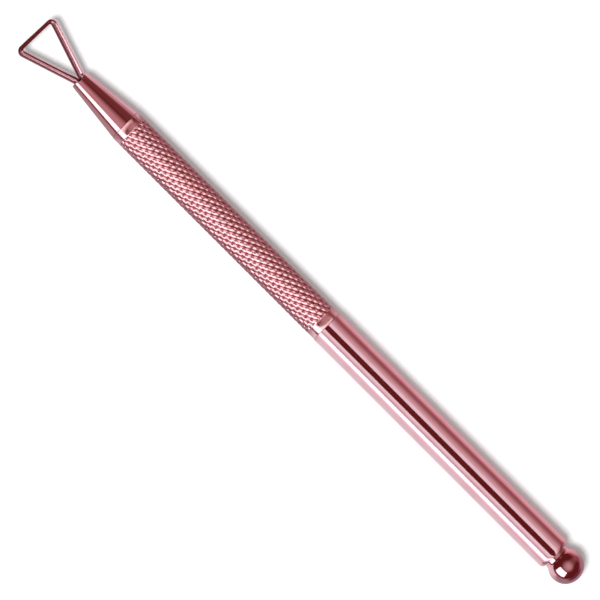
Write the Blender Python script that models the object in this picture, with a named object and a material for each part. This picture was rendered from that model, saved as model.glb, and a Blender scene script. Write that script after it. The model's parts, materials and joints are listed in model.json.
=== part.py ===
"""Gel removal stick, a double-ended nail tool about 125 mm long.

The stick lies on a flat surface along Y, with the bent wire scraper at +Y and the ball at -Y.
Its lowest line is at Z zero, and the origin is under the middle of its length. All sizes are in
metres. Each sub-part is built about its own datum on the stick's axis and then set on that axis.
"""

import math

import bmesh
import bpy
from mathutils import Vector

# Smooth barrel, a standard tube with a wall of one millimetre
barrel_diameter = 0.0060
tube_wall = 0.0010
barrel_length = 0.0525
barrel_chamfer_depth = 0.00033
barrel_chamfer_length = 0.00055

# Knurled grip, cut from the same tube, with its bands turned under the barrel
grip_band_step = 0.0001
grip_band_length = 0.0015
knurl_step = 0.000025
knurl_length = 0.0432
knurl_pitch = 0.00188
knurl_depth = 0.00018
knurl_runout = 0.00015
knurl_starts = 18

# Nose ferrule, bored for the wire legs
nose_length = 0.0105
nose_base_step = 0.00005
nose_mouth_wall = 0.0004
nose_bore_end_room = 0.0007

# Scraper loop, bent from round wire, with its front bar pressed flat
wire_diameter = 0.0010
loop_width = 0.0082
loop_reach = 0.01046
loop_corner_inner_radius = 0.0001
leg_gap = 0.00016
leg_insert_length = 0.0065
leg_bend_radius = 0.0015
leg_bend_height = 0.0001
bar_thickness = 0.00065
bar_height = 0.0012
bar_tilt = math.radians(1.9)
pressed_start_share = 0.25

# Solder round the wire legs
solder_wall = 0.00015
solder_recess = 0.0003

# Ball finial
ball_diameter = 0.0060
ball_length = 0.0056
neck_diameter = 0.0046
neck_length = 0.00065

# Spigots and the pin, which are pressed into the tubes
spigot_length = 0.0060
joining_pin_length = 0.0120
spigot_chamfer = 0.0003

# Clearances and cuts
fit_clearance = 0.00004
seam_gap = 0.00003
cut_overrun = 0.0005
merge_distance = 0.0000001

# Counts of faces
round_sides = 24
ball_upper_steps = 4
ball_lower_steps = 8
wire_sides = 20
bend_steps = 3
corner_steps = 8
smooth_angle = math.radians(20)

# Sizes that follow the ones above
tube_bore_diameter = barrel_diameter - 2 * tube_wall
grip_band_diameter = barrel_diameter - 2 * grip_band_step
knurl_diameter = barrel_diameter - 2 * knurl_step
spigot_diameter = tube_bore_diameter - 2 * fit_clearance
wire_radius = wire_diameter / 2
leg_offset = (wire_diameter + leg_gap) / 2
nose_bore_diameter = 2 * (leg_offset + wire_radius + solder_wall)
nose_bore_depth = leg_insert_length + nose_bore_end_room
nose_mouth_diameter = nose_bore_diameter + 2 * nose_mouth_wall
nose_base_diameter = grip_band_diameter - 2 * nose_base_step
corner_radius = loop_corner_inner_radius + wire_radius
corner_offset = loop_width / 2 - wire_radius - corner_radius
corner_rise = corner_offset * math.tan(bar_tilt)
axis_height = max(barrel_diameter, ball_diameter, knurl_diameter, grip_band_diameter) / 2

# Stations along Y, each the datum of one sub-part
grip_length = knurl_length + 2 * grip_band_length
ball_centre_drop = math.sqrt(1 - min(1.0, neck_diameter / ball_diameter) ** 2) * ball_length / 2
barrel_end_to_tip = neck_length + ball_centre_drop + ball_length / 2
loop_top = loop_reach + corner_rise
overall_length = (
    barrel_end_to_tip + barrel_length + seam_gap + grip_length + seam_gap + nose_length + loop_top
)
barrel_end_station = barrel_end_to_tip - overall_length / 2
grip_back_station = barrel_end_station + barrel_length + seam_gap
nose_shoulder_station = grip_back_station + grip_length + seam_gap
nose_mouth_station = nose_shoulder_station + nose_length


def clear_scene():
    """Remove every object that the scene starts with."""
    for item in list(bpy.data.objects):
        bpy.data.objects.remove(item, do_unlink=True)


def metal(name, colour, roughness):
    """Make one plain metal."""
    material = bpy.data.materials.new(name)
    material.use_nodes = True
    shader = material.node_tree.nodes["Principled BSDF"]
    shader.inputs["Base Color"].default_value = (*colour, 1.0)
    shader.inputs["Metallic"].default_value = 1.0
    shader.inputs["Roughness"].default_value = roughness
    material.diffuse_color = (*colour, 1.0)
    return material


def add_part(name, bm, axis, station, material=None):
    """Turn a bmesh into a smooth-shaded object whose datum is at a station on the axis."""
    bmesh.ops.remove_doubles(bm, verts=bm.verts, dist=merge_distance)
    bmesh.ops.recalc_face_normals(bm, faces=bm.faces)
    mesh = bpy.data.meshes.new(name)
    bm.to_mesh(mesh)
    bm.free()
    mesh.shade_smooth()
    mesh.set_sharp_from_angle(angle=smooth_angle)
    part = bpy.data.objects.new(name, mesh)
    bpy.context.collection.objects.link(part)
    part.parent = axis
    part.location = (0, station, 0)
    if material:
        mesh.materials.append(material)
    return part


def turned(outline):
    """Spin an outline of (radius, station) pairs about Y.

    The radii are measured to the flats, and one flat faces straight down, so that the stick
    rests on it. An outline that starts and ends on the axis makes a solid piece, and any other
    is closed to make a tube.
    """
    bm = bmesh.new()
    rise_share = math.tan(math.pi / round_sides)
    corners = [bm.verts.new((radius, y, radius * rise_share)) for radius, y in outline]
    edges = [bm.edges.new(pair) for pair in zip(corners, corners[1:])]
    if outline[0][0] > 0:
        edges.append(bm.edges.new((corners[-1], corners[0])))
    bmesh.ops.spin(
        bm,
        geom=corners + edges,
        cent=(0, 0, 0),
        axis=(0, 1, 0),
        angle=2 * math.pi,
        steps=round_sides,
        use_merge=True,
    )
    return bm


def spigot_outline(shoulder, direction):
    """Return the outline of a pressed spigot from its shoulder to the axis at its far end."""
    radius = spigot_diameter / 2
    end = shoulder + direction * spigot_length
    return [
        (radius, shoulder),
        (radius, end - direction * spigot_chamfer),
        (radius - spigot_chamfer, end),
        (0, end),
    ]


def make_barrel(axis, material):
    """Smooth tube, datum at its chamfered end."""
    outer = barrel_diameter / 2
    bore = tube_bore_diameter / 2
    outline = [
        (bore, barrel_length),
        (outer, barrel_length),
        (outer, barrel_chamfer_length),
        (outer - barrel_chamfer_depth, 0),
        (bore, 0),
    ]
    return add_part("smooth_barrel", turned(outline), axis, barrel_end_station, material)


def make_finial(axis, material):
    """Ball, neck and spigot in one, datum at the barrel's end face."""
    neck_start = -seam_gap
    neck = neck_diameter / 2
    centre = -neck_length - ball_centre_drop
    neck_angle = math.asin(min(1.0, neck_diameter / ball_diameter))
    equator = math.pi / 2
    angles = [
        neck_angle + (equator - neck_angle) * step / ball_upper_steps
        for step in range(ball_upper_steps)
    ]
    angles += [equator + equator * step / ball_lower_steps for step in range(ball_lower_steps)]

    outline = spigot_outline(neck_start, 1)[::-1]
    outline.append((neck, neck_start))
    for angle in angles:
        station = centre + ball_length / 2 * math.cos(angle)
        outline.append((ball_diameter / 2 * math.sin(angle), station))
    outline.append((0, centre - ball_length / 2))
    return add_part("ball_finial", turned(outline), axis, barrel_end_station, material)


def make_joining_pin(axis, material):
    """Pin across the seam between the two tubes, datum at that seam."""
    radius = spigot_diameter / 2
    half = joining_pin_length / 2
    outline = [
        (0, half),
        (radius - spigot_chamfer, half),
        (radius, half - spigot_chamfer),
        (radius, spigot_chamfer - half),
        (radius - spigot_chamfer, -half),
        (0, -half),
    ]
    return add_part("joining_pin", turned(outline), axis, grip_back_station, material)


def make_nose(axis, material):
    """Tapered nose, bored for the wire legs, datum at its shoulder."""
    bore = nose_bore_diameter / 2
    outline = [
        (0, nose_length - nose_bore_depth),
        (bore, nose_length - nose_bore_depth),
        (bore, nose_length),
        (nose_mouth_diameter / 2, nose_length),
        (nose_base_diameter / 2, 0),
    ]
    outline += spigot_outline(0, -1)
    return add_part("nose_ferrule", turned(outline), axis, nose_shoulder_station, material)


def grip_ring(bm, station, radii):
    """Add one ring round the grip, taking the radii in turn."""
    sides = 2 * knurl_starts
    ring = []
    for side in range(sides):
        angle = 2 * math.pi * (side + 0.5) / sides
        radius = radii[side % len(radii)]
        ring.append(bm.verts.new((radius * math.cos(angle), station, radius * math.sin(angle))))
    return ring


def join_rings(bm, first, second, split=None):
    """Fill the strip between two rings, split along one diagonal where the knurl asks for it."""
    for side in range(len(first)):
        after = (side + 1) % len(first)
        a, b, c, d = first[side], first[after], second[after], second[side]
        if split is None:
            bm.faces.new((a, b, c, d))
        elif (side + split) % 2:
            bm.faces.new((a, b, c))
            bm.faces.new((a, c, d))
        else:
            bm.faces.new((a, b, d))
            bm.faces.new((b, c, d))


def make_grip(axis, material):
    """Grip tube, datum at its back face.

    The knurl is a grid of points whose radius takes the groove's depth and the crest's height
    by turns, so each crest is a small pyramid and the grooves run along two helices.
    """
    to_corner = 1 / math.cos(math.pi / (2 * knurl_starts))
    bore = [tube_bore_diameter / 2 * to_corner]
    band = [grip_band_diameter / 2 * to_corner]
    crest = knurl_diameter / 2
    groove = crest - knurl_depth
    repeats = max(1, round(knurl_length / knurl_pitch))
    knurl_start = grip_band_length + knurl_runout
    row_height = (knurl_length - 2 * knurl_runout) / (2 * repeats)

    bm = bmesh.new()
    rings = [(0, bore), (0, band), (grip_band_length, band)]
    for row in range(2 * repeats + 1):
        radii = [groove, crest] if row % 2 else [crest, groove]
        rings.append((knurl_start + row * row_height, radii))
    rings += [(grip_length - grip_band_length, band), (grip_length, band), (grip_length, bore)]

    loops = [grip_ring(bm, station, radii) for station, radii in rings]
    for index, (first, second) in enumerate(zip(loops, loops[1:])):
        knurled = len(rings[index][1]) == 2 and len(rings[index + 1][1]) == 2
        crest_first = rings[index][1][0] == crest
        join_rings(bm, first, second, int(not crest_first) if knurled else None)
    join_rings(bm, loops[-1], loops[0])
    return add_part("knurled_grip", bm, axis, grip_back_station, material)


def arc(centre, radius, start, end, steps):
    """Return points on an arc, with its angles measured from +Y towards +X."""
    points = []
    for step in range(steps + 1):
        angle = start + (end - start) * step / steps
        points.append(centre + radius * Vector((math.sin(angle), math.cos(angle))))
    return points


def leg_centreline(corner_height, bar_lean):
    """Centreline of one leg at +X, from its hidden end up and round to the start of the bar.

    The leg runs straight in the nose, bends outwards just above the mouth, runs straight to
    the corner and turns into the bar. Heights are above the mouth. Each point comes with how
    far the wire is pressed flat there, from 0 where it is round to 1 in the bar.
    """
    corner = Vector((corner_offset, corner_height - corner_radius))
    bend = Vector((leg_offset + leg_bend_radius, leg_bend_height))
    reach = corner - bend
    turn = math.asin((leg_bend_radius + corner_radius) / reach.length)
    spread = math.atan2(reach.x, reach.y) + turn

    quarter = math.pi / 2
    points = [(Vector((leg_offset, -leg_insert_length)), 0)]
    for point in arc(bend, leg_bend_radius, -quarter, spread - quarter, bend_steps):
        points.append((point, 0))
    round_corner = arc(corner, corner_radius, spread + quarter, bar_lean, corner_steps)
    for step, point in enumerate(round_corner):
        pressed = (step / corner_steps - pressed_start_share) / (1 - pressed_start_share)
        points.append((point, max(0, pressed)))
    return points


def loop_centreline():
    """Whole centreline of the loop, from the left leg's end to the right leg's end."""
    bar_middle = loop_reach - bar_thickness / 2
    left = leg_centreline(bar_middle + corner_rise, -bar_tilt)
    right = leg_centreline(bar_middle - corner_rise, bar_tilt)
    return [(Vector((-point.x, point.y)), pressed) for point, pressed in left] + right[::-1]


def make_loop(axis, material):
    """Scraper loop, datum at the nose's mouth."""
    path = loop_centreline()
    to_corner = 1 / math.cos(math.pi / wire_sides)
    bm = bmesh.new()
    rings = []
    for index, (point, pressed) in enumerate(path):
        before = path[max(index - 1, 0)][0]
        after = path[min(index + 1, len(path) - 1)][0]
        along = (after - before).normalized()
        across = Vector((along.y, -along.x))
        half_thickness = wire_radius + pressed * (bar_thickness / 2 - wire_radius)
        radius = (wire_radius + pressed * (bar_height / 2 - wire_radius)) * to_corner
        ring = []
        for side in range(wire_sides):
            angle = 2 * math.pi * (side + 0.5) / wire_sides
            wide = max(-half_thickness, min(half_thickness, radius * math.cos(angle)))
            place = point + across * wide
            ring.append(bm.verts.new((place.x, place.y, radius * math.sin(angle))))
        rings.append(ring)
    for first, second in zip(rings, rings[1:]):
        join_rings(bm, first, second)
    bm.faces.new(rings[0])
    bm.faces.new(rings[-1][::-1])
    return add_part("scraper_loop", bm, axis, nose_mouth_station, material)


def make_solder(axis, material):
    """Solder that fills the nose's bore round the legs, datum at the nose's mouth."""
    radius = nose_bore_diameter / 2 - fit_clearance
    front = -solder_recess
    back = fit_clearance - nose_bore_depth
    plug = turned([(0, front), (radius, front), (radius, back), (0, back)])
    part = add_part("solder_plug", plug, axis, nose_mouth_station, material)

    channel_radius = wire_radius + fit_clearance
    channel_back = -leg_insert_length - fit_clearance
    channel_front = front + cut_overrun
    for side in (-1, 1):
        shape = [
            (0, channel_front),
            (channel_radius, channel_front),
            (channel_radius, channel_back),
            (0, channel_back),
        ]
        cutter = add_part("leg_channel", turned(shape), axis, nose_mouth_station)
        cutter.location.x = side * leg_offset
        cutter.hide_render = True
        cutter.display_type = "WIRE"
        cut = part.modifiers.new("leg_channel", "BOOLEAN")
        cut.operation = "DIFFERENCE"
        cut.solver = "EXACT"
        cut.object = cutter
    return part


def main():
    clear_scene()
    axis = bpy.data.objects.new("stick_axis", None)
    bpy.context.collection.objects.link(axis)
    axis.location = (0, 0, axis_height)

    plated = (0.80, 0.48, 0.50)
    make_loop(axis, metal("plated_wire", plated, 0.18))
    make_solder(axis, metal("solder", (0.42, 0.22, 0.20), 0.35))
    make_nose(axis, metal("plated_nose", plated, 0.12))
    make_grip(axis, metal("plated_knurl", plated, 0.22))
    make_joining_pin(axis, metal("bare_steel", (0.56, 0.55, 0.54), 0.30))
    make_barrel(axis, metal("plated_barrel", plated, 0.10))
    make_finial(axis, metal("plated_ball", plated, 0.10))


main()
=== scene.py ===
"""The looks of a gel removal stick: rose-gold plating on turned, knurled and bent metal.

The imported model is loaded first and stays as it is. Each operator below models one piece of the
stick at its real size, in metres, round the solid that it stands for. The joining pin is hidden
and only gets its steel. The last operator sets up the floor, the lights and the camera. The
stick lies along Y with its wire scraper at +Y.
"""

import json
import math

import bmesh
import bpy
from mathutils import Matrix, Vector

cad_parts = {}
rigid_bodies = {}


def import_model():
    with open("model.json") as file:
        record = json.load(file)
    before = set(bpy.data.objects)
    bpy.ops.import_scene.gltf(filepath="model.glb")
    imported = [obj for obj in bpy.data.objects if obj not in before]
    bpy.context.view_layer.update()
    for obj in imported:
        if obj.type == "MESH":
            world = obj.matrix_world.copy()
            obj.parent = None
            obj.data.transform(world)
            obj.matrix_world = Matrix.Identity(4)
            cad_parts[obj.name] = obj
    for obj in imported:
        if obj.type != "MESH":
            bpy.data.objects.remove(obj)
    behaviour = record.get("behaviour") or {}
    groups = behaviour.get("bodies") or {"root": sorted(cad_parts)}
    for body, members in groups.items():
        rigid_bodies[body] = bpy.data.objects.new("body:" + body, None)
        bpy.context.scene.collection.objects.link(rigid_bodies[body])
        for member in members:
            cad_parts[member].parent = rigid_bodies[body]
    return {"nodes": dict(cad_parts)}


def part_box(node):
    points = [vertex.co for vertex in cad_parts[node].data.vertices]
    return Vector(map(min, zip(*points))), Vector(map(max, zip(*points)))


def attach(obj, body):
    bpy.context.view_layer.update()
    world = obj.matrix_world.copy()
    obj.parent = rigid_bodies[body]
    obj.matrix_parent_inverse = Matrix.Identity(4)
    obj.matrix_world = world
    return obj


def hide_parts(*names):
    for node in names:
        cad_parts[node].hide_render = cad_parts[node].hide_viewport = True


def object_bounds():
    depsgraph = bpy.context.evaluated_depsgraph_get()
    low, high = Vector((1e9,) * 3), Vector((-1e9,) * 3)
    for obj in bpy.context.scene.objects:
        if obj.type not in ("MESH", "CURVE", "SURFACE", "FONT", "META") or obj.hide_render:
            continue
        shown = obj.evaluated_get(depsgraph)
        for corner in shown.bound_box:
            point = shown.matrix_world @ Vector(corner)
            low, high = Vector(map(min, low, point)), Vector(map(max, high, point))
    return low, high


bl_info = {
    "name": "Gel Removal Stick",
    "version": (1, 0, 0),
    "blender": (4, 5, 0),
    "location": "View3D > Sidebar > Nail Stick",
    "description": "Models the finished pieces of a gel removal stick round its packed solids",
    "category": "Add Mesh",
}

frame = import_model()
cad_box = [list(corner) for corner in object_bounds()]

# Places that the solids give
barrel_low, barrel_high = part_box("smooth_barrel")
finial_low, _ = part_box("ball_finial")
grip_low, grip_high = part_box("knurled_grip")
_, nose_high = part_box("nose_ferrule")
loop_low, loop_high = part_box("scraper_loop")
solder_low, solder_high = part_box("solder_plug")
pin_low, pin_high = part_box("joining_pin")
axis_height = (barrel_low.z + barrel_high.z) / 2
mouth = nose_high.y

# How close to a place a point counts as being there, and how close two points are merged
near = 0.000002
merge_distance = 0.0000005

# Faces round the wire and the solder, and steps of the wire's bend, its corner and the rim's dip
wire_sides = 32
solder_sides = 64
bend_steps = 8
corner_steps = 14
dip_steps = 10

# Millimetres in a metre, as the textures are sized in millimetres
millimetres = 1000


def length(name, description, default):
    """A length that a user can change, shown in the scene's own unit."""
    return bpy.props.FloatProperty(
        name=name, description=description, default=default, min=0, unit="LENGTH", precision=6
    )


def share(name, description, default, top=1):
    """A share or a strength that a user can change."""
    return bpy.props.FloatProperty(
        name=name, description=description, default=default, min=0, max=top, precision=3
    )


def tint(name, description, default):
    """A colour that a user can change."""
    return bpy.props.FloatVectorProperty(
        name=name, description=description, default=default, subtype="COLOR", size=3, min=0, max=1
    )


def whole(name, description, default, least):
    """A whole number that a user can change."""
    return bpy.props.IntProperty(name=name, description=description, default=default, min=least)


def degrees(name, description, default):
    """An angle that a user can change, given here in degrees."""
    return bpy.props.FloatProperty(
        name=name, description=description, default=math.radians(default), subtype="ANGLE"
    )


class StickSizes(bpy.types.PropertyGroup):
    """Sizes of the stick's pieces."""

    round_sides: whole("Round sides", "Faces round a turned piece", 128, 24)
    barrel_diameter: length("Barrel diameter", "Across the plain barrel", 0.0060)
    chamfer_depth: length("Chamfer depth", "How far the barrel's end narrows", 0.00028)
    chamfer_length: length("Chamfer length", "Along the barrel's end", 0.00052)
    edge_round: length("Edge rounding", "Rounding of the turned edges", 0.00007)
    ball_diameter: length("Ball diameter", "Across the ball", 0.0060)
    ball_length: length("Ball length", "Along the stick, before the neck is cut", 0.0058)
    ball_reach: length("Ball reach", "How far the ball ends beyond its solid", 0.00018)
    neck_diameter: length("Neck diameter", "Across the neck behind the ball", 0.0046)
    neck_fillet: length("Neck fillet", "Hollow where the ball meets its neck", 0.00022)
    spigot_diameter: length("Spigot diameter", "Across the hidden spigots", pin_high.x - pin_low.x)
    spigot_length: length("Spigot length", "Along the hidden spigots", 0.0060)
    spigot_chamfer: length("Spigot chamfer", "At the ends of the spigots", 0.0003)
    tube_bore: length("Tube bore", "Across the bore of both tubes", 0.0040)
    band_diameter: length("Band diameter", "Across the plain bands of the grip", 0.0058)
    band_length: length("Band length", "Along each plain band", 0.0015)
    knurl_diameter: length("Knurl diameter", "Over the crests", 0.00595)
    knurl_depth: length("Groove depth", "Depth of the main grooves", 0.00022)
    notch_depth: length("Notch depth", "Depth of the crossing grooves", 0.00011)
    crest_round: share("Crest rounding", "Share of the depth that is lost half way", 0.22)
    knurl_runout: length("Knurl runout", "Where the knurl fades into a band", 0.00015)
    knurl_starts: whole("Knurl starts", "Diamonds round the grip", 18, 6)
    knurl_rows: whole("Knurl rows", "Diamonds along the grip", 23, 4)
    nose_seam: length("Nose seam", "Between the grip and the nose's shoulder", 0.00003)
    nose_base: length("Nose base", "Diameter at the shoulder", 0.0057)
    nose_mouth: length("Nose mouth", "Diameter at the mouth", 0.00326)
    nose_bore: length("Nose bore", "Diameter of the bore", 0.00246)
    nose_bore_depth: length("Nose bore depth", "From the mouth down", 0.0072)
    mouth_dip: length("Mouth dip", "How far the rim dips between the legs", 0.00035)
    mouth_dip_reach: length("Mouth dip reach", "Half width of the dip", 0.0011)
    rim_zone: length("Rim zone", "Depth below the mouth that the dip moves", 0.0008)
    wire_diameter: length("Wire diameter", "Across the round wire", 0.00116)
    leg_gap: length("Leg gap", "Between the legs in the nose", 0.00006)
    leg_insert: length("Leg insert", "Wire inside the nose", mouth - loop_low.y)
    bend_radius: length("Bend radius", "Of the legs above the mouth", 0.0015)
    bend_height: length("Bend height", "Where the bend starts above the mouth", 0.0001)
    loop_width: length("Loop width", "Outside, across the bar's ends", 0.00826)
    loop_reach: length("Loop reach", "From the mouth to the middle of the bar", 0.01052)
    corner_inner: length("Corner inner radius", "Inside the loop's corners", 0.0001)
    bar_thickness: length("Bar thickness", "Of the pressed bar along the stick", 0.00065)
    bar_height: length("Bar height", "Of the pressed bar, upwards", loop_high.z - loop_low.z)
    bar_tilt: degrees("Bar tilt", "Lean of the bar", 1.9)
    pressed_start: share("Pressed start", "Share of the corner that is still round", 0.25)


class StickFinish(bpy.types.PropertyGroup):
    """Colours and gloss of the metals."""

    plating: tint("Plating", "Rose gold, as the plating reflects", (0.81, 0.51, 0.56))
    plating_deep: tint("Deeper plating", "Where the plating is thicker", (0.78, 0.46, 0.50))
    # Worn plating on rubbed edges, also laid on the knurl's crests as a painted highlight
    plating_worn_and_highlight: tint("Worn plating", "Edges that handling has brightened", (0.86, 0.62, 0.64))
    # Painted shade: the dark colour laid into the bottom of the knurl's grooves, where shade falls
    groove: tint("Groove", "Plating in the bottom of the knurl", (0.26, 0.05, 0.06))
    solder: tint("Solder", "Solder fill between the legs", (0.42, 0.22, 0.20))
    steel: tint("Steel", "Turned steel of the joining pin", (0.56, 0.55, 0.54))
    polish_roughness: share("Polished roughness", "Barrel, ball and nose", 0.08)
    wire_roughness: share("Wire roughness", "Scraper wire", 0.13)
    knurl_roughness: share("Knurl roughness", "Crests of the knurl", 0.14)


class StickStage(bpy.types.PropertyGroup):
    """Floor, lights and camera."""

    floor_size: length("Floor size", "Side of the square floor", 3.0)
    floor_colour: tint("Floor colour", "Pale floor", (0.80, 0.80, 0.80))
    floor_glow: share("Floor glow", "Share of white that the floor shows by itself", 0.20)
    key_strength: share("Key strength", "Strength of the soft key light", 3.1, 100)
    key_softness: degrees("Key softness", "Angle that the key light covers in the sky", 21)
    key_lean: degrees("Key lean", "Lean of the key light to the left of the stick", 18)
    ambient: share("Ambient", "Level of the soft light from all round", 0.24)
    frame_width: length("Frame width", "Width that the picture shows", 0.0975)
    frame_shift: length("Frame shift", "Of the picture towards the scraper", 0.0013)
    frame_roll: degrees("Frame roll", "Turn of the camera above the stick", 45)
    lens: bpy.props.FloatProperty(
        name="Lens", description="Focal length of the camera", default=400.0, unit="CAMERA"
    )


def let_go():
    """Leave edit mode and deselect every object."""
    if bpy.context.mode != "OBJECT":
        bpy.ops.object.mode_set(mode="OBJECT")
    bpy.ops.object.select_all(action="DESELECT")


def choose(piece):
    """Leave edit mode and make a piece the only one that is selected."""
    let_go()
    piece.select_set(True)
    bpy.context.view_layer.objects.active = piece


def weld(distance=merge_distance):
    """Select all of the active piece in edit mode and merge its doubled points."""
    if bpy.context.mode != "EDIT_MESH":
        bpy.ops.object.mode_set(mode="EDIT")
    bpy.ops.mesh.select_all(action="SELECT")
    bpy.ops.mesh.remove_doubles(threshold=distance)


def open_piece(name):
    """Name the primitive that was just added, set its place in its mesh and start editing it."""
    piece = bpy.context.object
    piece.name = name
    piece.data.name = name
    bpy.ops.object.transform_apply(location=True, rotation=True, scale=True)
    bpy.ops.object.mode_set(mode="EDIT")
    bpy.ops.mesh.select_mode(type="VERT")
    bpy.ops.mesh.select_all(action="SELECT")
    return piece


def pick(test):
    """Select the points of the piece being edited that pass a test."""
    mesh = bpy.context.object.data
    shape = bmesh.from_edit_mesh(mesh)
    shape.verts.index_update()
    for point in shape.verts:
        point.select = bool(test(point))
    shape.select_flush_mode()
    bmesh.update_edit_mesh(mesh)
    if not any(point.select for point in shape.verts):
        raise RuntimeError(f"no point to select on {bpy.context.object.name}")


def picked():
    """Indices of the points that are selected."""
    shape = bmesh.from_edit_mesh(bpy.context.object.data)
    shape.verts.index_update()
    return {point.index for point in shape.verts if point.select}


def from_axis(place):
    """Distance of a place from the stick's axis."""
    return math.hypot(place.x, place.z - axis_height)


def start_ring(name, radius, station, sides, offset=0):
    """Add a ring at a station along the stick, about its axis or beside it."""
    let_go()
    bpy.ops.mesh.primitive_circle_add(
        vertices=sides,
        radius=radius,
        location=(offset, station, axis_height),
        rotation=(math.pi / 2, 0, 0),
    )
    return open_piece(name)


def ring_point():
    """Place of one point of the selected ring."""
    shape = bmesh.from_edit_mesh(bpy.context.object.data)
    return next(point.co.copy() for point in shape.verts if point.select)


def resize(value, centre):
    """Scale what is selected from a centre."""
    bpy.ops.transform.resize(value=value, center_override=centre)


def set_ring_radius(radius):
    """Give the selected ring a radius about the axis."""
    place = ring_point()
    ratio = radius / from_axis(place)
    resize((ratio, 1, ratio), (0, place.y, axis_height))


def extrude(move):
    """Extrude what is selected by a move."""
    bpy.ops.mesh.extrude_region_move(TRANSFORM_OT_translate={"value": move})


def pull_ring(radius, station):
    """Extrude the selected ring to a station on the axis and give it a new radius there."""
    extrude((0, station - ring_point().y, 0))
    set_ring_radius(radius)


def close_ring(station):
    """Fill the ring of points that lies at a station."""
    pick(lambda point: abs(point.co.y - station) < near)
    bpy.ops.mesh.edge_face_add()


def pull_spigot(sizes, shoulder, direction):
    """Turn a spigot from its shoulder and close its far end."""
    radius = sizes.spigot_diameter / 2
    end = shoulder + direction * sizes.spigot_length
    pull_ring(radius, shoulder)
    pull_ring(radius, end - direction * sizes.spigot_chamfer)
    pull_ring(radius - sizes.spigot_chamfer, end)
    bpy.ops.mesh.merge(type="CENTER")


def round_ring(radius, station, width, steps=3):
    """Round the edge that runs round the axis at a radius and a station."""
    pick(
        lambda point: abs(point.co.y - station) < near
        and abs(from_axis(point.co) - radius) < near
    )
    bpy.ops.mesh.bevel(offset=width, segments=steps, affect="EDGES")


def cut_off(place, outwards):
    """Cut the whole piece at a plane, drop what lies beyond it and keep the cut selected."""
    bpy.ops.mesh.select_all(action="SELECT")
    bpy.ops.mesh.bisect(
        plane_co=place, plane_no=outwards, clear_outer=True, threshold=merge_distance
    )


def apply_modifier(piece, kind, **settings):
    """Add a modifier with its settings and apply it."""
    choose(piece)
    bpy.ops.object.modifier_add(type=kind)
    modifier = piece.modifiers[-1]
    for name, value in settings.items():
        setattr(modifier, name, value)
    bpy.ops.object.modifier_apply(modifier=modifier.name)


def hand_over(piece, node, material, smooth_degrees=35):
    """Close the mesh, turn its faces outwards, shade it and let it stand for its solid."""
    choose(piece)
    weld()
    bpy.ops.mesh.normals_make_consistent(inside=False)
    choose(piece)
    bpy.ops.object.shade_smooth_by_angle(angle=math.radians(smooth_degrees))
    apply_modifier(piece, "WEIGHTED_NORMAL", weight=80, keep_sharp=True)
    piece.data.materials.clear()
    piece.data.materials.append(material)
    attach(piece, "root")
    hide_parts(node)


def add(tree, kind, inputs=None, **settings):
    """Add a node with its settings, and set or link its inputs."""
    made = tree.nodes.new(kind)
    for name, value in settings.items():
        setattr(made, name, value)
    for key, value in (inputs or {}).items():
        if isinstance(value, bpy.types.NodeSocket):
            tree.links.new(value, made.inputs[key])
        else:
            made.inputs[key].default_value = value
    return made


def count(tree, operation, *values):
    """Add a Math node over values or sockets and return its result."""
    made = add(tree, "ShaderNodeMath", dict(enumerate(values)), operation=operation)
    return made.outputs["Value"]


def times(tree, first, second):
    """Multiply two values or sockets."""
    return count(tree, "MULTIPLY", first, second)


def split(tree, vector):
    """The three parts of a vector."""
    return add(tree, "ShaderNodeSeparateXYZ", {"Vector": vector}).outputs


def how_far(tree, first, second):
    """Distance between two places."""
    made = add(tree, "ShaderNodeVectorMath", {0: first, 1: second}, operation="DISTANCE")
    return made.outputs["Value"]


def ease(tree, value, start, end, low=0.0, high=1.0):
    """Go smoothly from low to high while a value goes from start to end."""
    made = add(
        tree,
        "ShaderNodeMapRange",
        {"Value": value, "From Min": start, "From Max": end, "To Min": low, "To Max": high},
        interpolation_type="SMOOTHSTEP",
    )
    return made.outputs["Result"]


def blend(tree, amount, first, second):
    """Mix two colours, each a socket or three numbers."""
    made = add(tree, "ShaderNodeMix", {"Factor": amount}, data_type="RGBA")
    for socket, colour in ((made.inputs[6], first), (made.inputs[7], second)):
        if isinstance(colour, bpy.types.NodeSocket):
            tree.links.new(colour, socket)
        else:
            socket.default_value = (*colour, 1)
    return made.outputs[2]


def noise(tree, place, scale, detail=3.0, roughness=0.5):
    """Noise at so many waves to the millimetre."""
    made = add(
        tree,
        "ShaderNodeTexNoise",
        {"Vector": place, "Scale": scale, "Detail": detail, "Roughness": roughness},
    )
    return made.outputs["Fac"]


def stretched(tree, place, scale):
    """A place whose three parts are scaled."""
    return add(tree, "ShaderNodeMapping", {"Vector": place, "Scale": scale}).outputs["Vector"]


def turning_lines(tree, place, scale=1.6, distortion=1.2, detail_scale=0.6):
    """Wavy lines round the stick, as turning leaves them."""
    made = add(
        tree,
        "ShaderNodeTexWave",
        {"Vector": place, "Scale": scale, "Distortion": distortion, "Detail": 2.0},
        wave_type="BANDS",
        bands_direction="Y",
    )
    made.inputs["Detail Scale"].default_value = detail_scale
    return made.outputs["Fac"]


def cloudy_plating(tree, place, finish, scale):
    """Rose gold whose tone changes a little from place to place."""
    cloud = ease(tree, noise(tree, place, scale, 4.0), 0.35, 0.7)
    return blend(tree, cloud, finish.plating, finish.plating_deep)


def worn_edges(tree, start, end):
    """How far a place is worn: from none on a flat to all on a sharp edge."""
    edges = add(tree, "ShaderNodeNewGeometry").outputs["Pointiness"]
    return ease(tree, edges, start, end)


def start_metal(name):
    """A new material, its nodes, and the place on the stick in millimetres."""
    material = bpy.data.materials.new(name)
    material.use_nodes = True
    tree = material.node_tree
    coordinates = add(tree, "ShaderNodeTexCoord")
    place = add(
        tree,
        "ShaderNodeMapping",
        {
            "Vector": coordinates.outputs["Object"],
            "Location": (0, 0, -axis_height * millimetres),
            "Scale": (millimetres, millimetres, millimetres),
        },
    )
    return material, tree, place.outputs["Vector"]


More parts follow.
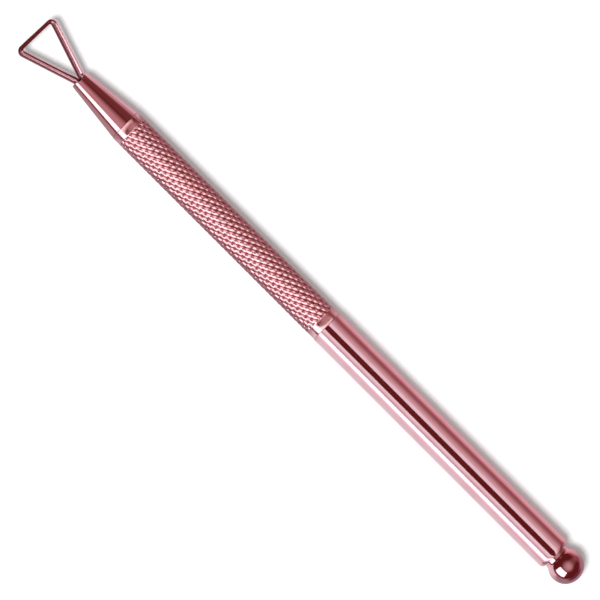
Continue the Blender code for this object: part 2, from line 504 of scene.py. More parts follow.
def finish_metal(material, colour, roughness, height, depth, strength):
    """Make a material metal and link its colour, roughness and bump."""
    tree = material.node_tree
    shader = tree.nodes["Principled BSDF"]
    shader.inputs["Metallic"].default_value = 1.0
    bump = add(
        tree, "ShaderNodeBump", {"Height": height, "Distance": depth, "Strength": strength}
    )
    tree.links.new(colour, shader.inputs["Base Color"])
    tree.links.new(roughness, shader.inputs["Roughness"])
    tree.links.new(bump.outputs["Normal"], shader.inputs["Normal"])
    return material


def plated_polish(name, finish):
    """Mirror-polished rose gold: cloudy tone, faint wipe marks and turning lines, bright edges."""
    material, tree, place = start_metal(name)
    worn = worn_edges(tree, 0.52, 0.60)
    colour = blend(tree, worn, cloudy_plating(tree, place, finish, 0.35), finish.plating_worn_and_highlight)

    wiped = stretched(tree, place, (2.4, 0.5, 2.4))
    smears = noise(tree, wiped, 1.0, detail=5.0, roughness=0.6)
    base = finish.polish_roughness
    gloss = ease(tree, smears, 0.3, 0.75, base * 0.8, base * 1.5)
    gloss = count(tree, "ADD", gloss, times(tree, worn, 0.05))

    marks = times(tree, turning_lines(tree, place), 0.35)
    height = count(tree, "ADD", marks, noise(tree, place, 1.1))
    return finish_metal(material, colour, gloss, height, depth=0.000002, strength=0.6)


def plated_wire(name, finish):
    """Rose gold on drawn wire: fine lines along the stick and rubbed corners."""
    material, tree, place = start_metal(name)
    worn = worn_edges(tree, 0.54, 0.66)
    colour = blend(tree, worn, cloudy_plating(tree, place, finish, 0.8), finish.plating_worn_and_highlight)
    drawn = stretched(tree, place, (6.0, 0.7, 6.0))
    lines = noise(tree, drawn, 1.0, detail=4.0, roughness=0.6)
    base = finish.wire_roughness
    gloss = ease(tree, lines, 0.3, 0.75, base * 0.8, base * 1.6)
    height = count(tree, "ADD", lines, noise(tree, place, 2.2))
    return finish_metal(material, colour, gloss, height, depth=0.000003, strength=0.6)


def plated_knurl(name, finish, sizes):
    """Rose gold over the knurl: mottled crests, worn and brightened by a painted highlight, rougher
    grooves darkened by painted shade, and smoother turned bands.
    """
    material, tree, place = start_metal(name)
    across, along, upward = split(tree, place)
    middle = (grip_low.y + grip_high.y) / 2 * millimetres
    half = ((grip_high.y - grip_low.y) / 2 - sizes.band_length) * millimetres
    from_middle = count(tree, "ABSOLUTE", count(tree, "SUBTRACT", along, middle))
    knurled = ease(tree, from_middle, half - 0.1, half, 1.0, 0.0)
    squares = count(tree, "ADD", times(tree, across, across), times(tree, upward, upward))
    radius = count(tree, "SQRT", squares)
    depth = sizes.knurl_depth * millimetres
    crest = sizes.knurl_diameter / 2 * millimetres
    # Painted shade: how far down a groove a place lies, which darkens it towards the groove colour
    deep = ease(tree, radius, crest - depth * 0.82, crest - depth * 0.50, 1.0, 0.0)
    # Worn crests with a painted highlight: how near a place lies to the crest, which lightens it
    crest_wear_and_highlight = ease(tree, radius, crest - depth * 0.45, crest - depth * 0.15)

    colour = cloudy_plating(tree, place, finish, 0.5)
    colour = blend(tree, times(tree, crest_wear_and_highlight, 0.6), colour, finish.plating_worn_and_highlight)
    colour = blend(tree, deep, colour, finish.groove)
    grain = noise(tree, place, 3.6, 2.0)
    base = finish.knurl_roughness
    gloss = ease(tree, grain, 0.3, 0.7, base * 0.8, base * 1.5)
    gloss = count(tree, "ADD", gloss, times(tree, deep, 0.18))
    marks = times(tree, turning_lines(tree, place), 0.015)
    height = count(tree, "ADD", marks, times(tree, grain, knurled))
    return finish_metal(material, colour, gloss, height, depth=0.000032, strength=0.8)


def solder_metal(name, finish):
    """Dull solder with a slightly pitted skin."""
    material, tree, place = start_metal(name)
    grain = noise(tree, place, 5.0, detail=5.0, roughness=0.65)
    dark = tuple(value * 0.7 for value in finish.solder)
    colour = blend(tree, ease(tree, grain, 0.3, 0.7), finish.solder, dark)
    gloss = ease(tree, grain, 0.3, 0.7, 0.28, 0.45)
    return finish_metal(material, colour, gloss, grain, depth=0.00002, strength=0.7)


def turned_steel(name, finish):
    """Bare steel with turning lines."""
    material, tree, place = start_metal(name)
    lines = turning_lines(tree, place, scale=3.0, distortion=0.8, detail_scale=1.0)
    bright = tuple(min(1.0, value * 1.15) for value in finish.steel)
    colour = blend(tree, lines, finish.steel, bright)
    gloss = ease(tree, noise(tree, place, 1.5), 0.3, 0.7, 0.25, 0.38)
    return finish_metal(material, colour, gloss, lines, depth=0.000005, strength=0.5)


class TurnBarrel(bpy.types.Operator):
    """Turn the plain polished tube with its chamfered end"""

    bl_idname = "nail_stick.turn_barrel"
    bl_label = "Plain Barrel"

    def execute(self, context):
        sizes = context.scene.stick_sizes
        finish = context.scene.stick_finish
        outer = sizes.barrel_diameter / 2
        bore = sizes.tube_bore / 2
        front, back = barrel_high.y, barrel_low.y
        shoulder = back + sizes.chamfer_length
        rim = outer - sizes.chamfer_depth

        piece = start_ring("barrel_tube", bore, front, sizes.round_sides)
        pull_ring(outer, front)
        pull_ring(outer, shoulder)
        pull_ring(rim, back)
        pull_ring(bore, back)
        pull_ring(bore, front)
        weld()
        round_ring(outer, front, sizes.edge_round)
        round_ring(outer, shoulder, sizes.edge_round * 3, steps=5)
        round_ring(rim, back, sizes.edge_round)
        polish = plated_polish("polished_barrel", finish)
        hand_over(piece, "smooth_barrel", polish)
        return {"FINISHED"}


class TurnFinial(bpy.types.Operator):
    """Turn the ball with its neck and spigot"""

    bl_idname = "nail_stick.turn_finial"
    bl_label = "Ball and Neck"

    def execute(self, context):
        sizes = context.scene.stick_sizes
        finish = context.scene.stick_finish
        radius = sizes.ball_diameter / 2
        centre = finial_low.y - sizes.ball_reach + sizes.ball_length / 2
        neck = sizes.neck_diameter / 2
        neck_rise = math.sqrt(1 - (neck / radius) ** 2) * sizes.ball_length / 2
        neck_station = centre + neck_rise

        let_go()
        bpy.ops.mesh.primitive_uv_sphere_add(
            segments=sizes.round_sides,
            ring_count=sizes.round_sides // 2,
            radius=radius,
            location=(0, centre, axis_height),
            rotation=(math.pi / 2, 0, 0),
        )
        piece = open_piece("ball_and_neck")
        resize((1, sizes.ball_length / sizes.ball_diameter, 1), (0, centre, axis_height))
        cut_off((0, neck_station, axis_height), (0, 1, 0))
        set_ring_radius(neck)
        pull_ring(neck, barrel_low.y)
        pull_spigot(sizes, barrel_low.y, 1)
        round_ring(neck, neck_station, sizes.neck_fillet, steps=6)
        polish = plated_polish("polished_ball", finish)
        hand_over(piece, "ball_finial", polish, smooth_degrees=50)
        return {"FINISHED"}


class TurnNose(bpy.types.Operator):
    """Turn the tapered nose, bored for the wire, with a dip in its rim between the legs"""

    bl_idname = "nail_stick.turn_nose"
    bl_label = "Tapered Nose"

    def execute(self, context):
        sizes = context.scene.stick_sizes
        finish = context.scene.stick_finish
        shoulder = grip_high.y + sizes.nose_seam
        bore = sizes.nose_bore / 2
        rim = sizes.nose_mouth / 2
        base = sizes.nose_base / 2
        bottom = mouth - sizes.nose_bore_depth

        piece = start_ring("nose_cone", bore, bottom, sizes.round_sides)
        pull_ring(bore, mouth)
        pull_ring(rim, mouth)
        pull_ring(base, shoulder)
        pull_spigot(sizes, shoulder, -1)
        close_ring(bottom)
        round_ring(base, shoulder, sizes.edge_round)
        round_ring(rim, mouth, sizes.edge_round)
        round_ring(bore, mouth, sizes.edge_round * 0.6, steps=2)
        self.dip_rim(sizes)
        polish = plated_polish("polished_nose", finish)
        hand_over(piece, "nose_ferrule", polish)
        return {"FINISHED"}

    def dip_rim(self, sizes):
        """Lower the rim in a shallow V between the legs, above and below."""
        lowest = mouth - sizes.rim_zone
        for number in range(dip_steps):
            reach = sizes.mouth_dip_reach * (1 - number / dip_steps)
            pick(lambda point: abs(point.co.x) < reach and point.co.y > lowest)
            bpy.ops.transform.translate(value=(0, -sizes.mouth_dip / dip_steps, 0))


class KnurlGrip(bpy.types.Operator):
    """Cut the diamond knurl as a flat sheet, roll it up and turn its plain bands"""

    bl_idname = "nail_stick.knurl_grip"
    bl_label = "Knurled Grip"

    def execute(self, context):
        sizes = context.scene.stick_sizes
        finish = context.scene.stick_finish
        self.crest = sizes.knurl_diameter / 2
        self.width = 2 * math.pi * self.crest / sizes.knurl_starts
        self.start = grip_low.y + sizes.band_length + sizes.knurl_runout
        knurled = grip_high.y - sizes.band_length - sizes.knurl_runout - self.start
        self.pitch = knurled / sizes.knurl_rows
        self.end = self.start + knurled

        piece = self.cut_diamond(sizes)
        self.repeat_diamond(piece, sizes)
        self.trim_and_band(piece, sizes)
        self.roll_up(piece)
        for station in (grip_low.y, grip_high.y):
            round_ring(sizes.band_diameter / 2, station, sizes.edge_round)
        knurl = plated_knurl("knurled_plating", finish, sizes)
        hand_over(piece, "knurled_grip", knurl, smooth_degrees=60)
        return {"FINISHED"}

    def cut_diamond(self, sizes):
        """One diamond, lowered to a groove along two sides and to a notch along the others."""
        let_go()
        bpy.ops.mesh.primitive_circle_add(vertices=4, radius=self.pitch / 2, fill_type="NGON")
        piece = open_piece("knurled_handle")
        resize((self.width / self.pitch, 1, 1), (0, 0, 0))
        bpy.ops.mesh.subdivide(number_cuts=3)

        def groove(point):
            return abs(point.co.x / self.width + point.co.y / self.pitch)

        def notch(point):
            return abs(point.co.x / self.width - point.co.y / self.pitch)

        # Each is 0.5 along its own two sides, 0.25 half way to the middle and 0 in the middle
        side, half_way, slack = 0.5, 0.25, 0.05
        for way, part in ((side, 1), (half_way, sizes.crest_round)):
            pick(lambda point: abs(groove(point) - way) < slack)
            bpy.ops.transform.translate(value=(0, 0, -sizes.knurl_depth * part))
            pick(lambda point: abs(notch(point) - way) < slack and groove(point) < side - slack)
            bpy.ops.transform.translate(value=(0, 0, -sizes.notch_depth * part))
        return piece

    def repeat_diamond(self, piece, sizes):
        """Cover a sheet a little larger than the knurl with diamonds, and smooth it."""
        steps = (
            (2, (self.width / 2, self.pitch / 2, 0)),
            (sizes.knurl_starts + 2, (self.width, 0, 0)),
            (sizes.knurl_rows + 2, (0, self.pitch, 0)),
        )
        for copies, offset in steps:
            apply_modifier(
                piece,
                "ARRAY",
                count=copies,
                use_relative_offset=False,
                use_constant_offset=True,
                constant_offset_displace=offset,
            )
        weld()
        shift = self.width * (0.25 - sizes.knurl_starts / 2 - 1)
        bpy.ops.transform.translate(value=(shift, self.start - self.pitch, 0))
        apply_modifier(piece, "SUBSURF", levels=1, render_levels=1, boundary_smooth="ALL")

    def trim_and_band(self, piece, sizes):
        """Trim the sheet to its turn and length, and add the bands, end faces and bore."""
        bpy.ops.object.mode_set(mode="EDIT")
        half = self.width * sizes.knurl_starts / 2
        for direction in (-1, 1):
            cut_off((direction * half, 0, 0), (direction, 0, 0))
        band = sizes.band_diameter / 2 - self.crest
        bore = sizes.tube_bore / 2 - self.crest
        for direction, station in ((-1, self.start), (1, self.end)):
            cut_off((0, station, 0), (0, direction, 0))
            self.pull_edge(direction * sizes.knurl_runout, band)
            self.pull_edge(direction * sizes.edge_round, band)
            self.pull_edge(direction * (sizes.band_length - sizes.edge_round), band)
            self.pull_edge(0, bore)
        self.pull_edge(grip_low.y - grip_high.y, bore)
        weld()

    def pull_edge(self, distance, level):
        """Extrude the selected edge of the sheet along it and flatten it to a level."""
        extrude((0, distance, 0))
        resize((1, 1, 0), (0, 0, level))

    def roll_up(self, piece):
        """Stand the sheet on its edge, bend it once round and set it on the axis."""
        bpy.ops.mesh.select_all(action="SELECT")
        self.turn_about_y(math.pi / 2)
        apply_modifier(
            piece, "SIMPLE_DEFORM", deform_method="BEND", deform_axis="Y", angle=-2 * math.pi
        )
        bpy.ops.object.mode_set(mode="EDIT")
        bpy.ops.mesh.select_all(action="SELECT")
        bpy.ops.transform.translate(value=(self.crest, 0, 0))
        self.turn_about_y(-math.pi / 2)
        bpy.ops.transform.translate(value=(0, 0, axis_height))
        weld(near)

    def turn_about_y(self, angle):
        """Turn the selection about Y. With no window this operator turns the other way."""
        bpy.ops.transform.rotate(value=-angle, orient_axis="Y", center_override=(0, 0, 0))


class BendLoop(bpy.types.Operator):
    """Bend the scraper from round wire and press its front bar flat"""

    bl_idname = "nail_stick.bend_loop"
    bl_label = "Scraper Wire"

    def execute(self, context):
        sizes = context.scene.stick_sizes
        finish = context.scene.stick_finish
        self.radius = sizes.wire_diameter / 2
        self.leg_offset = (sizes.wire_diameter + sizes.leg_gap) / 2
        self.corner_radius = sizes.corner_inner + self.radius
        self.corner_offset = sizes.loop_width / 2 - self.radius - self.corner_radius
        left = self.bend_half("left_half", -1, sizes)
        right = self.bend_half("right_half", 1, sizes)

        choose(left)
        right.select_set(True)
        bpy.ops.object.join()
        left.name = "scraper_wire"
        left.data.name = "scraper_wire"
        weld(near)
        apply_modifier(left, "SUBSURF", levels=1, render_levels=1)
        wire = plated_wire("drawn_wire", finish)
        hand_over(left, "scraper_loop", wire, smooth_degrees=60)
        return {"FINISHED"}

    def bend_half(self, name, side, sizes):
        """One leg and half of the bar, from the leg's hidden end to the middle of the bar."""
        lean = side * sizes.bar_tilt
        middle = sizes.loop_reach - sizes.bar_thickness / 2
        rise = self.corner_offset * math.tan(sizes.bar_tilt)
        corner = Vector((self.corner_offset, middle - side * rise - self.corner_radius))
        bend = Vector((self.leg_offset + sizes.bend_radius, sizes.bend_height))
        reach = corner - bend
        both = sizes.bend_radius + self.corner_radius
        spread = math.atan2(reach.x, reach.y) + math.asin(both / reach.length)
        straight = math.sqrt(reach.length ** 2 - both ** 2)

        hidden_end = mouth - sizes.leg_insert
        piece = start_ring(name, self.radius, hidden_end, wire_sides, side * self.leg_offset)
        start = picked()
        extrude((0, sizes.leg_insert + sizes.bend_height, 0))
        self.spin(side, bend, side * spread, bend_steps)
        extrude((side * straight * math.sin(spread), straight * math.cos(spread), 0))
        self.turn_corner(side, corner, spread + math.pi / 2, lean, sizes)
        half_bar = self.corner_offset / math.cos(sizes.bar_tilt)
        extrude((-side * half_bar * math.cos(lean), half_bar * math.sin(lean), 0))
        pick(lambda point: point.index in start)
        bpy.ops.mesh.edge_face_add()
        return piece

    def spin(self, side, centre, angle, steps):
        """Sweep the selected ring round a centre, clockwise from above for a positive angle."""
        bpy.ops.mesh.spin(
            steps=steps,
            angle=angle,
            center=(side * centre.x, mouth + centre.y, axis_height),
            axis=(0, 0, 1),
        )

    def turn_corner(self, side, corner, start, end, sizes):
        """Turn the wire round its corner and press it flatter at each step."""
        thick = self.radius
        for number in range(1, corner_steps + 1):
            self.spin(side, corner, -side * (start - end) / corner_steps, 1)
            ring = picked()
            turned = start + (end - start) * number / corner_steps
            across = Vector((side * math.sin(turned), math.cos(turned), 0))
            centre = Vector((side * corner.x, mouth + corner.y, axis_height))
            middle = centre + across * self.corner_radius
            pressed = number / corner_steps - sizes.pressed_start
            pressed = max(0.0, pressed / (1 - sizes.pressed_start))
            half = self.radius + pressed * (sizes.bar_thickness / 2 - self.radius)
            now = self.radius + pressed * (sizes.bar_height / 2 - self.radius)
            resize((now / thick,) * 3, middle)
            thick = now
            if pressed:
                self.press_flat(ring, middle, across, half)
            pick(lambda point: point.index in ring)

    def press_flat(self, ring, middle, across, half):
        """Press both sides of a ring flat at half the bar's thickness."""
        along = Vector((-across.y, across.x, 0))
        for way in (-1, 1):
            pick(
                lambda point: point.index in ring
                and way * (point.co - middle).dot(across) > half - near
            )
            bpy.ops.transform.resize(
                value=(0, 1, 1),
                center_override=middle + across * way * half,
                orient_type="GLOBAL",
                orient_matrix=(across, along, (0, 0, 1)),
                orient_matrix_type="GLOBAL",
            )


class FillSolder(bpy.types.Operator):
    """Fill the nose's bore round the legs with solder"""

    bl_idname = "nail_stick.fill_solder"
    bl_label = "Solder Fill"

    def execute(self, context):
        finish = context.scene.stick_finish
        radius = (solder_high.x - solder_low.x) / 2
        front, back = solder_high.y, solder_low.y
        # Rings of the wall and of the dome between the legs: share of the radius, and station
        rings = (
            (1, front),
            (0.85, front - 0.00004),
            (0.6, front + 0.00004),
            (0.45, mouth + 0.00010),
            (0.3, mouth + 0.00022),
            (0.12, mouth + 0.00030),
        )
        piece = start_ring("solder_fill", radius, back, solder_sides)
        for part, station in rings:
            pull_ring(radius * part, station)
        bpy.ops.mesh.merge(type="CENTER")
        close_ring(back)
        hand_over(piece, "solder_plug", solder_metal("solder_skin", finish))
        return {"FINISHED"}


class DressPin(bpy.types.Operator):
    """Give the hidden joining pin its turned steel"""

    bl_idname = "nail_stick.dress_pin"
    bl_label = "Joining Pin"

    def execute(self, context):
        steel = turned_steel("turned_pin_steel", context.scene.stick_finish)
        pin = frame["nodes"]["joining_pin"]
        pin.data.materials.clear()
        pin.data.materials.append(steel)
        return {"FINISHED"}


# Pieces that mirror a card
in_barrel = ("barrel_tube",)
in_grip = ("knurled_handle",)
in_nose = ("nose_cone",)
in_ball = ("ball_and_neck",)
in_wire = ("scraper_wire",)

# Cards that single pieces mirror, and that light nothing else: the name, the pieces, the degrees
# that the card spans, from overhead to the right, its reach along the stick as a share of the
# direction, the shares of it that fade at the left, at the right and at both ends, or "round"
# where it fades all round, and its colour
barrel_reach = (-0.97, 0.97)
sharp = (0, 0, 0)
box_white = (2.1, 2.1, 2.1)
studio_cards = (
    ("barrel_edge_card", in_barrel, (-93, -77), barrel_reach, sharp, (0.74, 0.88, 0.91)),
    ("barrel_soft_box", in_barrel, (-77, -52), (-0.98, 0.97), sharp, box_white),
    ("barrel_dip_card", in_barrel, (-51, -40), barrel_reach, sharp, (0.63, 0.56, 0.59)),
    ("barrel_left_card", in_barrel, (-40, -31), barrel_reach, sharp, (0.80, 0.91, 0.93)),
    ("barrel_inner_card", in_barrel, (-31, -19), barrel_reach, sharp, (0.94, 1.06, 1.04)),
    ("barrel_right_card", in_barrel, (15, 35), barrel_reach, sharp, (0.86, 1.00, 1.04)),
    ("barrel_fading_card", in_barrel, (35, 92), barrel_reach, (0, 1, 0), (0.72, 0.60, 0.62)),
    ("head_soft_box", in_nose + in_grip, (-73, -41), (-0.9, 0.9), (0, 0.04, 0.1), box_white),
    ("nose_glow", in_nose, (-40, 26), (-0.9, 0.9), (0.05, 0.65, 0.1), (0.46, 0.33, 0.33)),
    ("grip_glow", in_grip, (-27, 84), (-0.2, 0.2), (0.5, 0.5, 0.1), (0.44, 0.28, 0.28)),
    ("knurl_low_card", in_grip, (-45, 80), (-0.8, -0.2), (0, 0.5, 0.1), (1.8, 1.65, 1.6)),
    ("knurl_high_card", in_grip, (-40, 68), (0.2, 0.8), (0, 0.5, 0.1), (1.3, 1.1, 1.08)),
    ("ball_soft_box", in_ball, (-74, -30), (-0.58, 0.42), sharp, box_white),
    ("ball_glow", in_ball, (-34, 50), (-0.81, 0.66), "round", (0.39, 0.34, 0.35)),
    ("ball_wash", in_ball, (-70, 84), (-0.7, 0.45), (0.1, 0.1, 0.3), (0.11, 0.07, 0.06)),
    ("nose_wash", in_nose, (20, 85), (-0.4, 0.6), (0.3, 0.1, 0.1), (0.05, 0.03, 0.03)),
    ("wire_left_wash", in_wire, (-80, -9), (-0.4, 0.4), (0.1, 0.1, 0.2), (0.02, 0.06, 0.065)),
    ("wire_right_wash", in_wire, (9, 80), (-0.4, 0.4), (0.1, 0.1, 0.2), (0.02, 0.06, 0.065)),
)
card_distance = 1.0
narrowest_fade = 0.001

# Cards for the scraper's wire: the name, the degrees that each is turned to lie along a leg, the
# degrees that it spans across that leg, and its level
wire_cards = (
    ("left_leg_card", 18, (-38, -6), 1.55),
    ("left_leg_side_card", 18, (6, 28), 1.5),
    ("right_leg_side_card", -18, (-36, -7), 0.5),
    ("right_leg_card", -18, (24, 84), 2.5),
)
wire_card_reach = (-0.07, 0.07)
wire_card_fade = (0.1, 0.1, 0.1)
wire_card_tint = (1, 0.93, 0.94)

# Cards that stand upright beyond the ends, which the straight pieces mirror when they are seen
# from an end: the name, the pieces, the end and the height. The barrel's own is low, as its
# chamfer would mirror a tall one
end_cards = (
    ("scraper_end_card", in_barrel + in_grip, 1, 0.5),
    ("ball_end_card", in_grip + in_nose, -1, 0.5),
    ("barrel_end_card", in_barrel, -1, 0.16),
)
end_card_width = 0.5
end_card_colour = (0.80, 0.74, 0.76)

# Place of the key light in the viewport. A sun lights the same from anywhere
key_place = (-0.3, 0, 1)

# The dim studio behind the cards: its level, how it brightens towards the floor at the right and
# at the left, as degrees and levels, and how that dies out towards the ends of the stick
studio_level = 0.13
studio_right = (66, 92, 0, 0.23)
studio_left = (-92, -74, 0.24, 0)
studio_ends = (0.3, 0.6, 1, 0)

# Painted reflection: colours that the floor shows only in the metal's mirror, dimmer and pinker
# than the floor itself, by the places along the stick: to the left of the stick, to its right close
# by, and far out to its right
painted_floor_reflection = (
    ((-0.063,), (0.36, 0.28, 0.32), (0.38, 0.25, 0.28), (0.20, 0.08, 0.08)),
    ((-0.057, -0.006), (0.80, 0.80, 0.82), (0.76, 0.50, 0.53), (0.40, 0.17, 0.18)),
    ((-0.003, 0.038), (0.42, 0.30, 0.33), (0.44, 0.28, 0.30), (0.24, 0.10, 0.10)),
    ((0.040, 0.041), (0.60, 0.48, 0.52), (0.40, 0.24, 0.26), (0.24, 0.10, 0.10)),
    ((0.042, 0.052), (0.42, 0.32, 0.33), (0.74, 0.54, 0.58), (0.24, 0.10, 0.10)),
    ((0.056,), (0.30, 0.24, 0.26), (0.95, 0.90, 0.94), (0.60, 0.52, 0.55)),
)
left_to_right = (-0.003, 0.003)
close_to_far = (0.005, 0.040)

# A painted dark reflection: a dark patch of that mirrored floor past the ball, for the ball's rim
# to mirror: where it starts along the stick, how it fans out, how far from the ball's middle it
# sets in, and its colour
dark_start = (-0.0575, -0.0660)
dark_fan = (0.35, 0.75, 1.0, 0.0)
dark_reach = (0.007, 0.016)
painted_dark_reflection = (0.14, 0.04, 0.05)


class SetStage(bpy.types.Operator):
    """Lay the pale floor, light it softly and set the camera straight above"""

    bl_idname = "nail_stick.set_stage"
    bl_label = "Floor, Lights and Camera"

    def execute(self, context):
        stage = context.scene.stick_stage
        self.lay_floor(stage)
        self.light_world(context.scene, stage)
        self.hang_cards()
        self.hang_key(stage)
        self.set_camera(context.scene, stage)
        context.scene.view_settings.view_transform = "Standard"
        return {"FINISHED"}

    def lay_floor(self, stage):
        """Flat pale floor that looks white in the picture and keeps shadows; in the metal's mirror
        it shows painted reflection colours, dimmed and tinted by place.
        """
        let_go()
        bpy.ops.mesh.primitive_plane_add(size=stage.floor_size)
        floor = bpy.context.object
        floor.name = "floor"
        material = bpy.data.materials.new("pale_floor")
        material.use_nodes = True
        tree = material.node_tree
        tree.nodes.clear()
        rays = add(tree, "ShaderNodeLightPath")
        mirrored = rays.outputs["Is Glossy Ray"]
        seen = count(tree, "MAXIMUM", rays.outputs["Is Camera Ray"], mirrored)
        glow = times(tree, seen, stage.floor_glow)
        # White to the camera, and the painted reflection colours in the metal's mirror
        painted_reflection_tint = blend(tree, mirrored, (1, 1, 1), self.painted_reflection_colour(tree))
        colour = add(
            tree,
            "ShaderNodeVectorMath",
            {0: painted_reflection_tint, 1: tuple(stage.floor_colour)},
            operation="MULTIPLY",
        )
        diffuse = add(tree, "ShaderNodeBsdfDiffuse", {"Color": colour.outputs["Vector"]})
        emission = add(tree, "ShaderNodeEmission", {"Color": painted_reflection_tint, "Strength": glow})
        both = add(tree, "ShaderNodeAddShader", {0: diffuse.outputs[0], 1: emission.outputs[0]})
        add(tree, "ShaderNodeOutputMaterial", {"Surface": both.outputs[0]})
        floor.data.materials.append(material)

    def painted_reflection_colour(self, tree):
        """Painted reflection: colour of the floor in the metal's mirror by its place, so that each
        piece has the edges it should.
        """
        place = add(tree, "ShaderNodeNewGeometry").outputs["Position"]
        side, along, _ = split(tree, place)
        rows = [(station, *row) for stations, *row in painted_floor_reflection for station in stations]
        first, last = rows[0][0], rows[-1][0]
        way = add(
            tree, "ShaderNodeMapRange", {"Value": along, "From Min": first, "From Max": last}
        )
        ramps = []
        for column in (1, 2, 3):
            ramp = add(tree, "ShaderNodeValToRGB", {"Fac": way.outputs["Result"]})
            stops = ramp.color_ramp.elements
            for row in rows[1:-1]:
                stops.new((row[0] - first) / (last - first))
            for stop, row in zip(stops, rows):
                stop.position = (row[0] - first) / (last - first)
                stop.color = (*row[column], 1)
            ramps.append(ramp.outputs["Color"])
        left, close, far = ramps
        right = blend(tree, ease(tree, side, *close_to_far), close, far)
        colour = blend(tree, ease(tree, side, *left_to_right), left, right)
        # Painted dark reflection past the ball, seen only in the metal's mirror
        beyond = how_far(tree, place, (0, (finial_low.y + barrel_low.y) / 2, 0))
        spread = count(tree, "DIVIDE", count(tree, "ABSOLUTE", side), beyond)
        ahead = times(tree, ease(tree, along, *dark_start), ease(tree, spread, *dark_fan))
        dark = times(tree, ease(tree, beyond, *dark_reach), ahead)
        return blend(tree, dark, colour, painted_dark_reflection)

    def light_world(self, scene, stage):
        """White to the camera, soft light on the floor, and a studio for the metal to mirror."""
        world = bpy.data.worlds.new("soft_studio")
        world.use_nodes = True
        world.cycles.sampling_method = "NONE"
        scene.world = world
        tree = world.node_tree
        tree.nodes.clear()
        rays = add(tree, "ShaderNodeLightPath").outputs
        white = (1, 1, 1, 1)
        kinds = ((self.studio_colour(tree), 1.0), (white, stage.ambient), (white, 1.0))
        mirrored, soft, plain = (
            add(tree, "ShaderNodeBackground", {"Color": colour, "Strength": level}).outputs[0]
            for colour, level in kinds
        )
        lit = add(tree, "ShaderNodeMixShader", {0: rays["Is Glossy Ray"], 1: soft, 2: mirrored})
        shown = add(
            tree, "ShaderNodeMixShader", {0: rays["Is Camera Ray"], 1: lit.outputs[0], 2: plain}
        )
        add(tree, "ShaderNodeOutputWorld", {"Surface": shown.outputs[0]})

    def studio_colour(self, tree):
        """Dim warm level of the studio behind its cards, by the angle across the stick."""
        direction = add(tree, "ShaderNodeTexCoord").outputs["Generated"]
        across, along, upward = split(tree, direction)
        angle = count(tree, "DEGREES", count(tree, "ARCTAN2", across, upward))
        right, left = ease(tree, angle, *studio_right), ease(tree, angle, *studio_left)
        ends = ease(tree, count(tree, "ABSOLUTE", along), *studio_ends)
        edges = times(tree, count(tree, "ADD", right, left), ends)
        level = count(tree, "ADD", edges, studio_level)
        deep = times(tree, level, level)
        colour = add(tree, "ShaderNodeCombineColor", {"Red": level, "Green": deep, "Blue": deep})
        return colour.outputs["Color"]

    def hang_cards(self):
        """Hang the cards round the stick, those along the wire's legs and those at the ends."""
        for card in studio_cards:
            self.hang_card(*card)
        for name, angle, across, level in wire_cards:
            turn = math.radians(angle)
            colour = [level * part for part in wire_card_tint]
            self.hang_card(name, in_wire, across, wire_card_reach, wire_card_fade, colour, turn)
        for name, pieces, way, height in end_cards:
            place = (0, way * card_distance, height / 2)
            rotation = (-way * math.pi / 2, 0, 0)
            size = (end_card_width, height)
            self.add_card(name, pieces, place, rotation, size, end_card_colour)

    def hang_card(self, name, pieces, across, along, fade, colour, turn=0):
        """Hang one card at its angle round the stick, level with the pieces that mirror it."""
        corners = [bpy.data.objects[piece].bound_box for piece in pieces]
        stations = [corner[1] for box in corners for corner in box]
        start, end = (math.radians(angle) for angle in across)
        low, high = (card_distance * lean / math.sqrt(1 - lean ** 2) for lean in along)
        middle = (start + end) / 2
        place = Matrix.Rotation(turn, 3, "Z") @ Vector(
            (card_distance * math.sin(middle), (low + high) / 2, card_distance * math.cos(middle))
        )
        place += Vector((0, (min(stations) + max(stations)) / 2, axis_height))
        size = (2 * card_distance * math.tan((end - start) / 2), high - low)
        card = self.add_card(name, pieces, place, (0, middle, turn), size, colour)
        self.soften(card, fade)

    def add_card(self, name, pieces, place, rotation, size, colour):
        """Add a card that shows as its colour, and only in the pieces that mirror it."""
        let_go()
        mirrored_by = bpy.data.collections.new(name + "_pieces")
        for piece in pieces:
            mirrored_by.objects.link(bpy.data.objects[piece])
        bpy.ops.object.light_add(type="AREA", location=place, rotation=rotation)
        card = bpy.context.object
        card.name = name
        level = max(colour)
        card.data.shape = "RECTANGLE"
        card.data.size, card.data.size_y = size
        card.data.energy = level * math.pi * size[0] * size[1]
        card.data.color = [value / level for value in colour]
        card.visible_diffuse = False
        card.visible_camera = False
        card.light_linking.receiver_collection = mirrored_by
        return card

    def soften(self, card, fade):
        """Let a card fade towards its sides and ends, or all round from its middle."""
        card.data.use_nodes = True
        tree = card.data.node_tree
        place = add(tree, "ShaderNodeNewGeometry").outputs["Parametric"]
        if fade == "round":
            strength = ease(tree, how_far(tree, place, (0.5, 0.5, 0)), 0.0, 0.5, 1, 0)
        else:
            across, along, _ = split(tree, place)
            left, right, ends = (max(value, narrowest_fade) for value in fade)
            strength = ease(tree, across, 0, left)
            strength = times(tree, strength, ease(tree, across, 1 - right, 1, 1, 0))
            for start, end in ((0, ends), (1, 1 - ends)):
                strength = times(tree, strength, ease(tree, along, start, end))
        tree.links.new(strength, tree.nodes["Emission"].inputs["Strength"])

    def hang_key(self, stage):
        """Wide soft light from above and the left, which casts the shadow to the right."""
        let_go()
        turn = (0, -stage.key_lean, 0)
        bpy.ops.object.light_add(type="SUN", location=key_place, rotation=turn)
        key = bpy.context.object
        key.name = "key_light"
        key.data.energy = stage.key_strength
        key.data.angle = stage.key_softness
        key.visible_glossy = False

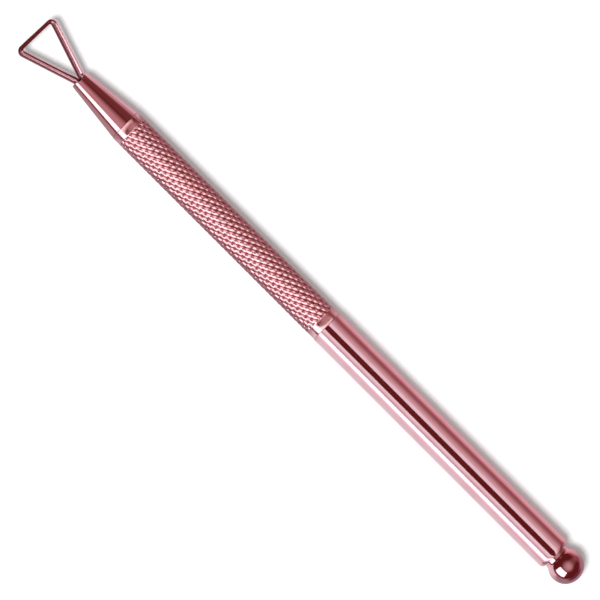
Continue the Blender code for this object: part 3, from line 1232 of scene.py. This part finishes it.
    def set_camera(self, scene, stage):
        """Long lens straight above the stick, rolled so that the stick lies corner to corner."""
        let_go()
        low, high = (Vector(corner) for corner in cad_box)
        middle = (low + high) / 2 + Vector((0, stage.frame_shift, 0))
        bpy.ops.object.camera_add(rotation=(0, 0, -stage.frame_roll))
        camera = bpy.context.object
        camera.data.lens = stage.lens
        distance = stage.frame_width * camera.data.lens / camera.data.sensor_width
        camera.location = (middle.x, middle.y, high.z / 2 + distance)
        scene.camera = camera


class StickPanel(bpy.types.Panel):
    """Buttons and sizes of the nail stick in the 3D view's sidebar"""

    bl_idname = "VIEW3D_PT_nail_stick"
    bl_label = "Nail Stick"
    bl_space_type = "VIEW_3D"
    bl_region_type = "UI"
    bl_category = "Nail Stick"

    def draw(self, context):
        layout = self.layout
        for operator in piece_operators + (SetStage,):
            layout.operator(operator.bl_idname)
        for group in (
            context.scene.stick_sizes,
            context.scene.stick_finish,
            context.scene.stick_stage,
        ):
            box = layout.box()
            for name in type(group).__annotations__:
                box.prop(group, name)


piece_operators = (
    TurnBarrel,
    TurnFinial,
    TurnNose,
    KnurlGrip,
    BendLoop,
    FillSolder,
    DressPin,
)
classes = (StickSizes, StickFinish, StickStage) + piece_operators + (SetStage, StickPanel)


def register():
    """Register the settings, the operators and the panel."""
    for entry in classes:
        bpy.utils.register_class(entry)
    bpy.types.Scene.stick_sizes = bpy.props.PointerProperty(type=StickSizes)
    bpy.types.Scene.stick_finish = bpy.props.PointerProperty(type=StickFinish)
    bpy.types.Scene.stick_stage = bpy.props.PointerProperty(type=StickStage)


def unregister():
    """Take the settings, the operators and the panel out again."""
    del bpy.types.Scene.stick_stage
    del bpy.types.Scene.stick_finish
    del bpy.types.Scene.stick_sizes
    for entry in reversed(classes):
        bpy.utils.unregister_class(entry)


def main():
    """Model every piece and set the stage."""
    register()
    for item in list(bpy.data.objects):
        if item.type in {"CAMERA", "LIGHT"}:
            bpy.data.objects.remove(item)
    bpy.ops.nail_stick.turn_barrel()
    bpy.ops.nail_stick.turn_finial()
    bpy.ops.nail_stick.turn_nose()
    bpy.ops.nail_stick.knurl_grip()
    bpy.ops.nail_stick.bend_loop()
    bpy.ops.nail_stick.fill_solder()
    bpy.ops.nail_stick.dress_pin()
    bpy.ops.nail_stick.set_stage()


if __name__ == "__main__":
    main()
